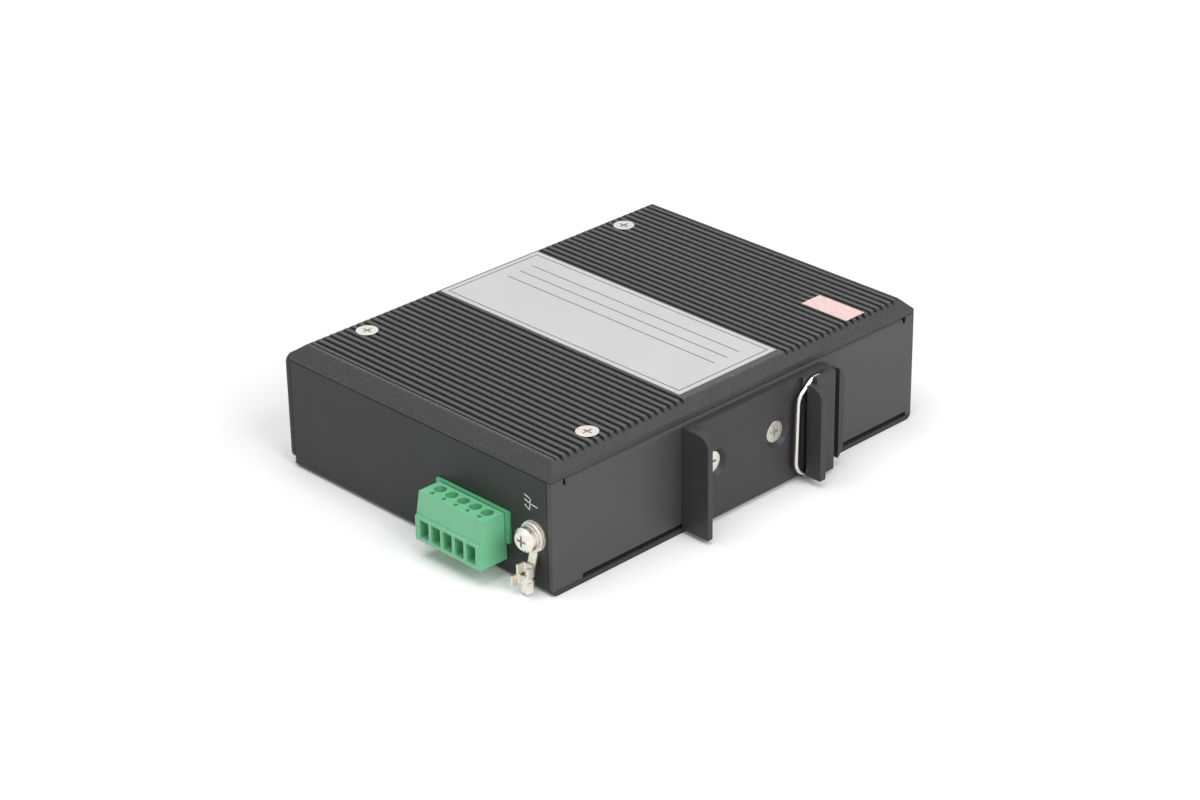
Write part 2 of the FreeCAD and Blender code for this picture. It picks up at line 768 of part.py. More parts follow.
def build_bracket():
    """Aluminium extrusion along Z: fixed hook, plate, lip and the cleat that traps the wire spring."""
    body = new_body("din_bracket")
    section = sketch_on(body, "BracketSection", "XY_Plane", "bracket_bottom")
    floor = f"{PLATE_FACE} + channel_floor"
    roof = f"{floor} + channel_gap"
    outline(section, [
        ("rail_width/2 + hook_root", "housing_depth/2"),
        ("rail_width/2 + hook_root", f"{PLATE_FACE} + hook_reach"),
        ("rail_width/2 + hook_root - hook_tip", f"{PLATE_FACE} + hook_reach"),
        ("rail_width/2 - hook_catch", f"{PLATE_FACE} + hook_pocket + hook_nose"),
        ("rail_width/2 - hook_catch", f"{PLATE_FACE} + hook_pocket"),
        ("rail_width/2", f"{PLATE_FACE} + hook_pocket"),
        ("rail_width/2", PLATE_FACE),
        ("-rail_width/2", PLATE_FACE),
        ("-rail_width/2", floor),
        ("-cleat_web_place", floor),
        ("-cleat_web_place", roof),
        ("-rail_width/2", roof),
        ("-rail_width/2", f"{PLATE_FACE} + lip_reach"),
        ("-rail_width/2 - lip_gauge", f"{PLATE_FACE} + lip_reach"),
        ("-rail_width/2 - lip_gauge", f"{roof} + cleat_gauge"),
        ("-rail_width/2 - lip_gauge - cleat_reach", f"{roof} + cleat_gauge"),
        ("-rail_width/2 - lip_gauge - cleat_reach", roof),
        ("-cleat_web_place - cleat_web_gauge", roof),
        ("-cleat_web_place - cleat_web_gauge", floor),
        ("-stop_place", floor),
        ("-stop_place", roof),
        ("-stop_place - stop_gauge", roof),
        ("-stop_place - stop_gauge", "housing_depth/2"),
    ])
    pad(body, section, "bracket_top - bracket_bottom")
    # round the two corners at the stop by trimming to a rounded outline
    trim = sketch_on(body, "BracketCorners", "XZ_Plane", "-housing_depth/2")
    outline(trim, [
        ("-stop_place - stop_gauge", "bracket_bottom", "bracket_corner"),
        ("rail_width", "bracket_bottom"),
        ("rail_width", "bracket_top"),
        ("-stop_place - stop_gauge", "bracket_top", "bracket_corner"),
    ])
    rectangle(trim, "-2*rail_width", "bracket_bottom - 1", "rail_width + 1", "bracket_top + 1")
    pocket(body, trim, "2*rail_width")
    # the arms of the wire pass the web at both ends, and the lip is shorter than the plate
    room = "(wire_bend - wire_radius - wire_room)"
    arms = sketch_on(body, "ArmNotches", "YZ_Plane", "-cleat_web_place")
    rectangle(arms, floor, "bracket_bottom", roof, f"wire_low + {room}")
    rectangle(arms, floor, f"wire_high - {room}", roof, "bracket_top")
    pocket(body, arms, "cleat_web_gauge")
    ends = sketch_on(body, "LipEnds", "YZ_Plane", "-rail_width/2")
    rectangle(ends, roof, "bracket_bottom", f"{PLATE_FACE} + lip_reach", "lip_bottom")
    rectangle(ends, roof, "lip_top", f"{PLATE_FACE} + lip_reach", "bracket_top")
    pocket(body, ends, "lip_gauge")
    drill = sketch_on(body, "BracketHoles", "XZ_Plane", f"-({PLATE_FACE})")
    for across, up in bracket_screw_places():
        circle(drill, across, up, "screw_radius + screw_clearance")
    countersink(body, drill, "bracket_sink_radius - bracket_gauge", "2*bracket_gauge", "bracket_sink_radius",
                reverse=True)
    notch = sketch_on(body, "ArrowNotch", "XZ_Plane", f"-({roof} + cleat_gauge)")
    outline(notch, [
        ("-rail_width/2 - lip_gauge", "notch_place - notch_height/2"),
        ("-rail_width/2 - lip_gauge - notch_width", "notch_place"),
        ("-rail_width/2 - lip_gauge", "notch_place + notch_height/2"),
    ])
    pocket(body, notch, "cleat_gauge", reverse=True)
    hook_tip = value(f"{PLATE_FACE} + hook_reach")
    lip_tip = value(f"{PLATE_FACE} + lip_reach")
    middle = value("(bracket_bottom + bracket_top)/2")
    soften(body, "hook_corner", lambda edge: level(edge, hook_tip) and edge.BoundBox.ZMin > middle)
    soften(body, "lip_corner", lambda edge: level(edge, lip_tip) and edge.BoundBox.ZMin > middle)


def level(edge, depth):
    """Whether an edge runs along X at one depth."""
    box = edge.BoundBox
    return box.YLength < 1e-6 and box.ZLength < 1e-6 and abs(box.YMin - depth) < 1e-4


def build_spring():
    """Wire spring bent to a D, open at the middle of its back."""
    middle = value(f"{PLATE_FACE} + channel_floor + channel_gap/2")
    path = doc.addObject("Sketcher::SketchObject", "WirePath")
    path.Placement = Placement(Vector(0, middle, 0), Rotation(Vector(1, 0, 0), 90))
    waist = "(wire_low + wire_high)/2"
    outline(path, [
        ("-wire_back", f"{waist} - wire_ends_gap/2"),
        ("-wire_back", "wire_low", "wire_bend"),
        ("-wire_bow", "wire_low", "wire_knee"),
        ("-wire_bow - wire_lean", "wire_high - wire_slope_drop", "wire_bend"),
        ("-wire_shoulder", "wire_high", "wire_bend"),
        ("-wire_back", "wire_high", "wire_bend"),
        ("-wire_back", f"{waist} + wire_ends_gap/2"),
    ], closed=False)
    doc.recompute()
    start = Vector(value("-wire_back"), middle, value(f"{waist} - wire_ends_gap/2"))
    sides = int(value("wire_sides"))
    spoke = Vector(value("wire_radius"), 0, 0)
    rim = [start + Rotation(Vector(0, 0, 1), 360 * number / sides).multVec(spoke) for number in range(sides)]
    item = doc.addObject("Part::Feature", "rail_spring")
    item.Shape = path.Shape.Wires[0].makePipe(Part.Face(Part.makePolygon([*rim, rim[0]])))
    finish(item, "rail_spring")


# ---- screws and nuts ----------------------------------------------------------------------------

def cross_recess(name, top):
    """Cross slot in a screw head whose top lies at the given height."""
    slots = []
    arms = [("recess_reach", "recess_width/2"), ("recess_width/2", "recess_reach")]
    for turn, (across, along) in enumerate(arms):
        slots.append(block(f"{name}Slot{turn}", (f"-({across})", f"-({along})", f"{top} - recess_depth"),
                           (f"2*({across})", f"2*({along})", "2*recess_depth")))
    return join(name + "Recess", slots)


def countersunk_screw(name, reach):
    """Flat-headed screw that points down, with its head's top at the origin."""
    head = taper(name + "Head", ("0", "0", "0"), "screw_head_radius", "screw_radius",
                 "screw_head_radius - screw_radius", along="-Z")
    shank = rod(name + "Shank", ("0", "0", f"-({reach})"), "screw_radius", reach)
    return cut(name, join(name + "Body", [head, shank]), cross_recess(name, "0"))


def pan_screw(name, head_radius, head_height, reach):
    """Round-headed screw that points down, with its head seated at the origin."""
    head = rod(name + "Head", ("0", "0", "0"), head_radius, f"0.6*{head_height}")
    crown = taper(name + "Crown", ("0", "0", f"0.6*{head_height}"), head_radius, f"0.7*{head_radius}",
                  f"0.4*{head_height}")
    shank = rod(name + "Shank", ("0", "0", f"-({reach})"), "screw_radius", reach)
    return cut(name, join(name + "Body", [head, crown, shank]), cross_recess(name, head_height))


def ring(name, outer, inner, thickness):
    """Flat ring that stands up from the origin."""
    disc = rod(name + "Disc", ("0", "0", "0"), outer, thickness)
    hole = rod(name + "Hole", ("0", "0", f"-({thickness})"), inner, f"3*({thickness})")
    return cut(name, disc, hole)


def hexagon_nut(name):
    """Hexagon nut that stands up from the origin."""
    body = hexagon(name + "Body", ("0", "0", "0"), "nut_radius", "nut_height")
    hole = rod(name + "Hole", ("0", "0", "-nut_height"), "screw_radius + screw_clearance/2", "3*nut_height")
    return cut(name, body, hole)


def copies(label, master, places, along="+Z"):
    """Solids of one master, turned to an axis and moved to several places, as one sub-part."""
    doc.recompute()
    item = doc.addObject("Part::Feature", label)
    shapes = []
    for place in places:
        shape = master.Shape.copy()
        shape.Placement = Placement(Vector(*(value(text) for text in place)), TURNS[along])
        shapes.append(shape)
    item.Shape = shapes[0] if len(shapes) == 1 else Part.makeCompound(shapes)
    return finish(item, label)


def build_fasteners():
    spans = ("-cover_screw_span/2", "cover_screw_span/2")
    corners = [(across, along, "cover_height") for across in spans
               for along in ("-cover_screw_front", "cover_screw_rear")]
    copies("cover_screws", countersunk_screw("CoverScrew", "cover_screw_reach"), corners)
    nut = hexagon_nut("ClinchNut")
    copies("flange_nuts", nut, [(across, along, "flange_top - sheet_gauge - nut_height")
                                for across, along, top in corners])
    sunk = f"{PLATE_FACE} - bracket_sink_radius + screw_head_radius + screw_clearance"
    rail_places = [(across, sunk, up) for across, up in bracket_screw_places()]
    rail_screw = countersunk_screw("BracketScrew", "bracket_screw_reach")
    copies("bracket_screws", rail_screw, rail_places, along="+Y")
    copies("bracket_nuts", nut, [(across, "housing_depth/2 - sheet_gauge", up)
                                 for across, up in bracket_screw_places()], along="-Y")
    corners = standoff_places()
    head = rod("BoardScrewHead", ("0", "0", "0"), "board_screw_head", "board_screw_rise")
    shank = rod("BoardScrewShank", ("0", "0", "-board_screw_reach"), "screw_radius", "board_screw_reach")
    copies("board_screws", join("BoardScrew", [head, shank]),
           [(across, along, BOARD_TOP) for across, along in corners])
    pillar = hexagon("StandoffPillar", ("0", "0", "2*sheet_gauge"), "standoff_radius",
                     "board_height - 2*sheet_gauge")
    shank = rod("StandoffShank", ("0", "0", "standoff_recess"), "standoff_shank",
                "2*sheet_gauge - standoff_recess")
    bore = rod("StandoffBore", ("0", "0", f"{BOARD_TOP} - board_screw_reach - standoff_recess"),
               "screw_radius + screw_clearance/2", "board_height")
    standoff = cut("Standoff", join("StandoffBody", [pillar, shank]), bore)
    copies("board_standoffs", standoff, [(across, along, "0") for across, along in corners])


def build_ground_terminal():
    """Grounding screw with its washers, solder lug and the nut pressed into the wall."""
    wall = "housing_length/2"
    stack = f"{wall} + lug_gauge"
    axis = ("ground_place", "ground_height")
    copies("ground_flat_washer", ring("FlatWasher", "flat_washer_radius", "screw_radius + screw_clearance",
                                      "flat_washer_gauge"), [(stack, *axis)], along="+X")
    stack += " + flat_washer_gauge"
    washer = ring("SpringWasher", "spring_washer_radius", "screw_radius + screw_clearance",
                  "spring_washer_gauge")
    split = block("SpringWasherSplit", ("0", "-recess_width/2", "-spring_washer_gauge"),
                  ("2*spring_washer_radius", "recess_width", "3*spring_washer_gauge"))
    copies("ground_spring_washer", cut("SplitWasher", washer, split), [(stack, *axis)], along="+X")
    stack += " + spring_washer_gauge"
    screw = pan_screw("GroundScrew", "ground_head_radius", "ground_head_height", "ground_screw_reach")
    copies("ground_screw", screw, [(stack, *axis)], along="+X")
    copies("ground_nut", hexagon_nut("WallNut"), [(f"{wall} - sheet_gauge", *axis)], along="-X")


def build_lug():
    """Tinned lug under the grounding screw, with its crimp ears still open."""
    body = new_body("ground_lug")
    wall = "housing_length/2"
    eye = sketch_on(body, "LugEye", "YZ_Plane", wall)
    circle(eye, "ground_place", "ground_height", "lug_ring_radius")
    circle(eye, "ground_place", "ground_height", "screw_radius + screw_clearance")
    pad(body, eye, "lug_gauge")
    strip = sketch_on(body, "LugStrip", "XZ_Plane", "-(ground_place + lug_neck/2)")
    start = "ground_height - lug_ring_radius - lug_bend_drop"
    outline(strip, [
        (wall, f"{start} + lug_overlap"),
        (wall, start, "lug_bend"),
        (f"{wall} + lug_lift", "lug_tip"),
        (f"{wall} + lug_lift + lug_gauge", "lug_tip"),
        (f"{wall} + lug_gauge", start, "lug_bend"),
        (f"{wall} + lug_gauge", f"{start} + lug_overlap"),
    ])
    pad(body, strip, "lug_neck")
    rise = "lug_ear_rise"
    for name, low, reach in (("WireEars", "lug_wire_ears", "lug_wire_reach"),
                             ("SleeveEars", "lug_sleeve_ears", "lug_sleeve_reach")):
        seat = f"({wall} + lug_lift*({start} - {low})/({start} - lug_tip))"
        ears = sketch_on(body, name, "XY_Plane", low)
        outline(ears, [
            (f"{seat} + {rise}", f"ground_place - {reach}"),
            (seat, f"ground_place - {reach}", "lug_ear_bend"),
            (seat, f"ground_place + {reach}", "lug_ear_bend"),
            (f"{seat} + {rise}", f"ground_place + {reach}"),
            (f"{seat} + {rise}", f"ground_place + {reach} - lug_gauge"),
            (f"{seat} + lug_gauge", f"ground_place + {reach} - lug_gauge", "lug_ear_bend - lug_gauge"),
            (f"{seat} + lug_gauge", f"ground_place - {reach} + lug_gauge", "lug_ear_bend - lug_gauge"),
            (f"{seat} + {rise}", f"ground_place - {reach} + lug_gauge"),
        ])
        pad(body, ears, "lug_ear_height")


# ---- circuit board and what it carries ----------------------------------------------------------

def build_board():
    left = "board_edge_gap + sheet_gauge - housing_length/2"
    plate = block("BoardPlate", (left, "-board_front", "board_height"),
                  ("housing_length - 2*sheet_gauge - 2*board_edge_gap", "board_front + board_rear",
                   "board_gauge"))
    holes = [rod(f"BoardHole{number}", (across, along, "board_height - 1"), "screw_radius + screw_clearance",
                 "board_gauge + 2")
             for number, (across, along) in enumerate(standoff_places())]
    finish(cut("BoardDrilled", plate, join("BoardHoles", holes)), "circuit_board")
    back = f"{JACK_FRONT} + jack_depth + jack_shield"
    row = f"{back} + transformer_gap"
    for index in range(5):
        middle = jack_place(index)
        coil = block(f"Transformer{index}", (f"{middle} - transformer_length/2", row, BOARD_TOP),
                     ("transformer_length", "transformer_width", "transformer_height"))
        finish(coil, f"transformer_{index + 1}")
    # the switch chip passes its heat to the cover
    corner = ("chip_place - chip_side/2", "chip_depth_place - chip_side/2")
    finish(block("SwitchChip", (*corner, BOARD_TOP), ("chip_side", "chip_side", "chip_height")),
           "switch_chip")
    finish(block("ThermalPad", (*corner, f"{BOARD_TOP} + chip_height"),
                 ("chip_side", "chip_side", "pad_gauge")), "thermal_pad")
    top = f"{BOARD_TOP} + chip_height + pad_gauge"
    finish(block("HeatBlock", (*corner, top),
                 ("chip_side", "chip_side", f"cover_height - cover_plate - ({top})")), "heat_block")
    finish(block("PowerInductor", ("coil_place - coil_side/2", "coil_depth_place - coil_side/2", BOARD_TOP),
                 ("coil_side", "coil_side", "coil_height")), "power_inductor")
    for index in range(2):
        foot = ("capacitor_place", f"capacitor_depth_place - {index}*capacitor_pitch", BOARD_TOP)
        finish(rod(f"Capacitor{index}", foot, "capacitor_radius", "capacitor_height"),
               f"power_capacitor_{index + 1}")
    # three clear rods in one block carry the status lights to the front plate
    holder = block("LampHolder", ("lamp_place - lamp_holder_width/2", "-board_front", BOARD_TOP),
                   ("lamp_holder_width", "lamp_holder_depth",
                    f"lamp_height + lamp_pitch + lamp_holder_width/2 - ({BOARD_TOP})"))
    rods = [rod(f"LampRod{index}", ("lamp_place", f"{FRONT} - face_gauge - lamp_nose",
                                    f"lamp_height + {index - 1}*lamp_pitch"), "lamp_radius",
                f"lamp_nose + face_gauge + housing_depth/2 - seam_gap - board_front + 1", along="+Y")
            for index in range(3)]
    finish(join("LampBlock", [holder, *rods]), "status_light_pipes")


# ---- network jacks ------------------------------------------------------------------------------

def jack_place(index):
    return f"(jack_middle + {index - 2}*jack_pitch)"


def build_jack(index):
    """Moulded jack, its sheet shield and the eight spring wires in its mouth."""
    middle = jack_place(index)
    name = f"Jack{index + 1}"
    shell = block(name + "Shell", (f"{middle} - jack_width/2", JACK_FRONT, BOARD_TOP),
                  ("jack_width", "jack_depth", "jack_height"))
    floor = f"{BOARD_TOP} + jack_mouth_base"
    steps = [("jack_mouth_width", floor, "jack_mouth_height"),
             ("jack_latch_width", f"{floor} - jack_latch_drop", "jack_latch_drop + 1"),
             ("jack_tab_width", f"{floor} - jack_latch_drop - jack_tab_drop", "jack_tab_drop + 1")]
    mouth = [block(f"{name}Mouth{number}", (f"{middle} - {width}/2", f"{JACK_FRONT} - 1", base),
                   (width, "jack_mouth_depth + 1", height))
             for number, (width, base, height) in enumerate(steps)]
    finish(cut(name, shell, join(name + "Mouth", mouth)), f"rj45_jack_{index + 1}")
    outer = block(name + "SkinOuter", (f"{middle} - jack_width/2 - jack_shield", JACK_FRONT, BOARD_TOP),
                  ("jack_width + 2*jack_shield", "jack_depth + jack_shield", "jack_height + jack_shield"))
    inner = block(name + "SkinInner", (f"{middle} - jack_width/2", f"{JACK_FRONT} - 1", f"{BOARD_TOP} - 1"),
                  ("jack_width", "jack_depth + 1", "jack_height + 1"))
    finish(cut(name + "Skin", outer, inner), f"jack_shield_{index + 1}")
    body = new_body(f"jack_contacts_{index + 1}")
    wire = sketch_on(body, name + "Wire", "YZ_Plane", f"{middle} - 3.5*contact_pitch - contact_width/2")
    roof = f"{floor} + jack_mouth_height"
    outline(wire, [
        (f"{JACK_FRONT} + contact_setback", roof),
        (f"{JACK_FRONT} + contact_setback + 2*contact_gauge", roof),
        (f"{JACK_FRONT} + jack_mouth_depth", f"{roof} - contact_drop + contact_gauge"),
        (f"{JACK_FRONT} + jack_mouth_depth", f"{roof} - contact_drop"),
    ])
    first = pad(body, wire, "contact_width")
    repeat(body, first, wire, "N_Axis", "7*contact_pitch", "8")


# ---- power terminal -----------------------------------------------------------------------------

WALL = "housing_length/2"
PLUG_SIDE = "(plug_width/2)"


def pole_place(index):
    return f"(terminal_middle + {index - 2}*pole_pitch)"


def build_header():
    """Shrouded pin header that reaches out through the terminal wall."""
    left = f"{WALL} + header_rim - header_depth"
    case = block("HeaderCase", (left, "terminal_middle - header_width/2", "header_base"),
                 ("header_depth", "header_width", "header_top - header_base"))
    room = block("HeaderRoom", (f"{left} + header_back",
                                "terminal_middle - header_width/2 + header_side_wall",
                                "header_base + header_wall"),
                 ("header_depth", "header_width - 2*header_side_wall",
                  "header_top - header_base - 2*header_wall"))
    slots = [block(f"HeaderPinHole{index}", (f"{left} - 1", f"{pole_place(index)} - pin_side/2",
                                             "pin_height - pin_side/2"),
                   ("header_back + 2", "pin_side", "pin_side")) for index in range(5)]
    finish(cut("Header", case, join("HeaderOpenings", [room, *slots])), "terminal_header")
    pins = []
    for index in range(5):
        place = f"{pole_place(index)} - pin_side/2"
        pins.append(block(f"Pin{index}", (f"{left} - pin_side", place, "pin_height - pin_side/2"),
                          ("pin_side + header_back + pin_reach", "pin_side", "pin_side")))
        pins.append(block(f"PinLeg{index}", (f"{left} - pin_side", place, BOARD_TOP),
                          ("pin_side", "pin_side", f"pin_height - {BOARD_TOP}")))
    finish(join("HeaderPins", pins), "header_pins")


def build_plug():
    """Green screw plug: a stepped, slanted front with a wire entry and a screw well for each pole."""
    body = new_body("terminal_plug")
    section = sketch_on(body, "PlugSection", "XZ_Plane", f"-(terminal_middle + {PLUG_SIDE})")
    inner = f"{WALL} + header_rim - header_depth + header_back + plug_wall_gap"
    rim = f"{WALL} + header_rim + plug_rim_gap"
    low = "header_base + header_wall + plug_fit"
    high = "header_top - header_wall - plug_fit"
    step = "header_base - plug_wall_gap"
    outline(section, [
        (inner, low),
        (rim, low),
        (rim, step),
        (f"{WALL} + plug_wall_gap", step),
        (f"{WALL} + plug_wall_gap", "plug_base"),
        ("plug_front", "plug_base"),
        ("plug_front", "plug_ledge"),
        ("plug_front - plug_ledge_step", "plug_ledge"),
        ("plug_front - plug_ledge_step - plug_slope", "plug_top"),
        (rim, "plug_top"),
        (rim, high),
        (inner, high),
    ])
    pad(body, section, "plug_width")
    # the part that goes into the header is narrower than the front
    flanks = sketch_on(body, "PlugFlanks", "XY_Plane", "plug_top")
    slim = "(header_width/2 - header_side_wall - plug_fit)"
    rectangle(flanks, f"{inner} - 1", f"terminal_middle - {PLUG_SIDE} - 1", rim, f"terminal_middle - {slim}")
    rectangle(flanks, f"{inner} - 1", f"terminal_middle + {slim}", rim, f"terminal_middle + {PLUG_SIDE} + 1")
    pocket(body, flanks, f"plug_top - ({step})")
    rows = {}
    entry = sketch_on(body, "WireEntry", "YZ_Plane", "plug_front")
    rectangle(entry, f"{pole_place(0)} - entry_width/2", "entry_base", f"{pole_place(0)} + entry_width/2",
              "entry_top", "entry_corner")
    rows["H_Axis", "entry"] = entry, pocket(body, entry, "entry_depth")
    pin_room = sketch_on(body, "SocketMouth", "YZ_Plane", inner)
    rectangle(pin_room, f"{pole_place(0)} - socket_width/2", "pin_height - socket_width/2",
              f"{pole_place(0)} + socket_width/2", "pin_height + socket_width/2")
    rows["H_Axis", "socket"] = pin_room, pocket(body, pin_room, "socket_depth", reverse=True)
    well = sketch_on(body, "ScrewWell", "XY_Plane", "plug_top")
    circle(well, "well_place", pole_place(0), "well_radius")
    rows["V_Axis", "well"] = well, pocket(body, well, "well_depth")
    test = sketch_on(body, "TestHole", "XY_Plane", "plug_top")
    rectangle(test, "test_hole_place - test_hole_side/2", f"{pole_place(0)} - test_hole_side/2",
              "test_hole_place + test_hole_side/2", f"{pole_place(0)} + test_hole_side/2")
    rows["V_Axis", "test"] = test, pocket(body, test, "test_hole_depth")
    for (axis, _), (sketch, feature) in rows.items():
        repeat(body, feature, sketch, axis, "4*pole_pitch", "5")
    return body


def build_plug_metal():
    """Clamp screw, cage and spring contact of each pole."""
    inner = f"{WALL} + header_rim - header_depth + header_back + plug_wall_gap"
    seat = "plug_top - well_depth"
    head = rod("ClampHead", ("0", "0", "0"), "clamp_head_radius", "clamp_head_height")
    slot = block("ClampSlot", ("-clamp_head_radius", "-clamp_slot_width/2",
                               "clamp_head_height - clamp_slot_depth"),
                 ("2*clamp_head_radius", "clamp_slot_width", "2*clamp_slot_depth"))
    copies("plug_clamp_screws", cut("ClampScrew", head, slot),
           [("well_place", pole_place(index), seat) for index in range(5)])
    cage = block("Cage", ("0", "-cage_width/2", "0"), ("cage_length", "cage_width", "cage_height"))
    bore = block("CageBore", ("-1", "cage_gauge - cage_width/2", "cage_gauge"),
                 ("cage_length + 2", "cage_width - 2*cage_gauge", "cage_height - 2*cage_gauge"))
    copies("plug_cages", cut("ClampCage", cage, bore),
           [("plug_front - entry_depth", pole_place(index), "(entry_base + entry_top - cage_height)/2")
            for index in range(5)])
    tube = block("Socket", ("0", "-socket_width/2", "-socket_width/2"),
                 ("socket_depth", "socket_width", "socket_width"))
    hole = block("SocketBore", ("-1", "contact_gauge - socket_width/2", "contact_gauge - socket_width/2"),
                 ("socket_depth + 2", "socket_width - 2*contact_gauge", "socket_width - 2*contact_gauge"))
    copies("plug_contacts", cut("SocketTube", tube, hole),
           [(inner, pole_place(index), "pin_height") for index in range(5)])


# ---- prints and seal on the cover ---------------------------------------------------------------

def build_prints():
    label = block("RatingLabel", ("-label_width/2", "-label_length/2", "cover_height"),
                  ("label_width", "label_length", "label_gauge"))
    finish(label, "rating_label")
    seal = block("Seal", ("seal_shift - cover_screw_span/2 - seal_length/2", "seal_middle - seal_width/2",
                          "cover_height"),
                 ("seal_length", "seal_width", "label_gauge"))
    finish(seal, "seal_sticker")


# ---- build, check and write ---------------------------------------------------------------------

build_cover()
build_shell()
build_rear_panel()
build_rear_foot()
build_front_frame()
build_front_panel()
build_bracket()
build_spring()
build_fasteners()
build_ground_terminal()
build_lug()
build_board()
for number in range(5):
    build_jack(number)
build_header()
build_plug()
build_plug_metal()
build_prints()
doc.recompute()

failed = [item.Name for item in doc.Objects if "Invalid" in item.State or "Error" in item.State]
if failed:
    raise ValueError(f"features that failed: {failed}")
for item in finished:
    if item.Shape.isNull() or not item.Shape.isValid() or not item.Shape.Solids:
        raise ValueError(f"{item.Label} has no valid solid")
for item in finished:
    item.Shape.exportStep(f"parts/{item.Label}.step")
print(len(finished), "sub-parts written")
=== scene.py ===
import bpy
from math import cos, pi, radians, sin
from mathutils import Matrix, Vector


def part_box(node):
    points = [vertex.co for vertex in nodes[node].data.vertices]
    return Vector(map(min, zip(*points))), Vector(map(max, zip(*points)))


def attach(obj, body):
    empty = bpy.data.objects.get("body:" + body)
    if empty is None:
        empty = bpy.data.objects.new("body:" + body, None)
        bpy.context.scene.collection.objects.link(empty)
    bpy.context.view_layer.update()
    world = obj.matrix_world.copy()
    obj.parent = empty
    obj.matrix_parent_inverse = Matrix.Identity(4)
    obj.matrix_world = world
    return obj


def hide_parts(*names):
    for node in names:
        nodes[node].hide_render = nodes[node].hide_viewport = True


# Small network switch for a rail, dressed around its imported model.
# Everything is in metres, apart from the values marked mm.

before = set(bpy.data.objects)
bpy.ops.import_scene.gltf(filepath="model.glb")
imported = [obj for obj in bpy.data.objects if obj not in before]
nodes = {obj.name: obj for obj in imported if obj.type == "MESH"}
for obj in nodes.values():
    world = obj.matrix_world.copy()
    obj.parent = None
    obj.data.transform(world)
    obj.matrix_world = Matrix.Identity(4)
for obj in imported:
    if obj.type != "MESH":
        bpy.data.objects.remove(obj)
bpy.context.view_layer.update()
mm = 0.001
scene = bpy.context.scene


# shader nodes: a value goes to the node's own setting where it has one, or else to its socket
def addNode(tree, kind, **values):
    item = tree.nodes.new(kind)
    for key, number in values.items():
        if hasattr(item, key) and key != "Scale":
            setattr(item, key, number)
        else:
            item.inputs[key].default_value = number
    return item


def ranged(tree, source, low, high, start=0.3, end=0.7):
    # start..end of the source becomes low..high
    item = addNode(tree, "ShaderNodeMapRange")
    item.inputs["From Min"].default_value = start
    item.inputs["From Max"].default_value = end
    item.inputs["To Min"].default_value = low
    item.inputs["To Max"].default_value = high
    tree.links.new(source, item.inputs["Value"])
    return item.outputs["Result"]


# camera, floor and lamps
camera = {
    "lens": 91.99,                      # mm, as is the sensor
    "sensor": 36.0,
    "clipStart": 0.01,
    "place": (451.0, 463.18, 338.28),   # mm
    "azimuth": 135.886,                 # degrees round +Z from -Y
    "elevation": 26.844,
    "roll": -0.884,
}
stage = {
    "floorSize": 6.0,
    "floorDrop": 0.00005,
    "floorColour": (0.94, 0.94, 0.94),
    "floorGlow": (0.1, 0.6),            # beside the object and far from it
    "glowReach": (0.07, 0.35),
    "skyForEye": 1.0,
    "skyForLight": (0.25, 0.25, 0.25),
    "lampAim": (0, 0, 0.015),
}
lamps = [
    # name, place, size, watts
    ("railSideSoftbox", (0.05, 0.95, 0.75), 0.8, 7.8),
    ("overheadSoftbox", (0.22, 0.0, 1.15), 0.9, 8.0),
    ("terminalFill", (1.0, -0.35, 0.55), 0.7, 0.12),
]


def aimAt(item, target):
    item.rotation_euler = (Vector(target) - item.location).to_track_quat("-Z", "Y").to_euler()


def makeCamera():
    data = bpy.data.cameras.new("mainCamera")
    data.lens = camera["lens"]
    data.sensor_width = camera["sensor"]
    data.clip_start = camera["clipStart"]
    item = bpy.data.objects.new("mainCamera", data)
    scene.collection.objects.link(item)
    turn, lift = radians(camera["azimuth"]), radians(camera["elevation"])
    back = Vector((sin(turn) * cos(lift), -cos(turn) * cos(lift), sin(lift)))
    right = (-back).cross(Vector((0, 0, 1))).normalized()
    up = right.cross(-back)
    lean = radians(camera["roll"])
    tiltedRight = cos(lean) * right + sin(lean) * up
    tiltedUp = cos(lean) * up - sin(lean) * right
    axes = Matrix((tiltedRight, tiltedUp, back)).transposed()
    item.matrix_world = Matrix.Translation(Vector(camera["place"]) * mm) @ axes.to_4x4()
    scene.camera = item


def backgroundSeen(tree):
    # 1 where the eye, a gloss or a clear piece looks at the background
    rays = addNode(tree, "ShaderNodeLightPath")
    seen = rays.outputs["Is Camera Ray"]
    for kind in ("Is Glossy Ray", "Is Transmission Ray"):
        either = addNode(tree, "ShaderNodeMath", operation="MAXIMUM")
        tree.links.new(seen, either.inputs[0])
        tree.links.new(rays.outputs[kind], either.inputs[1])
        seen = either.outputs[0]
    return seen


def growingOutward(tree, reach, values):
    # from the first value beside the object to the second one far from it
    place = addNode(tree, "ShaderNodeNewGeometry")
    distance = addNode(tree, "ShaderNodeVectorMath", operation="LENGTH")
    tree.links.new(place.outputs["Position"], distance.inputs[0])
    return ranged(tree, distance.outputs["Value"], *values, *reach)


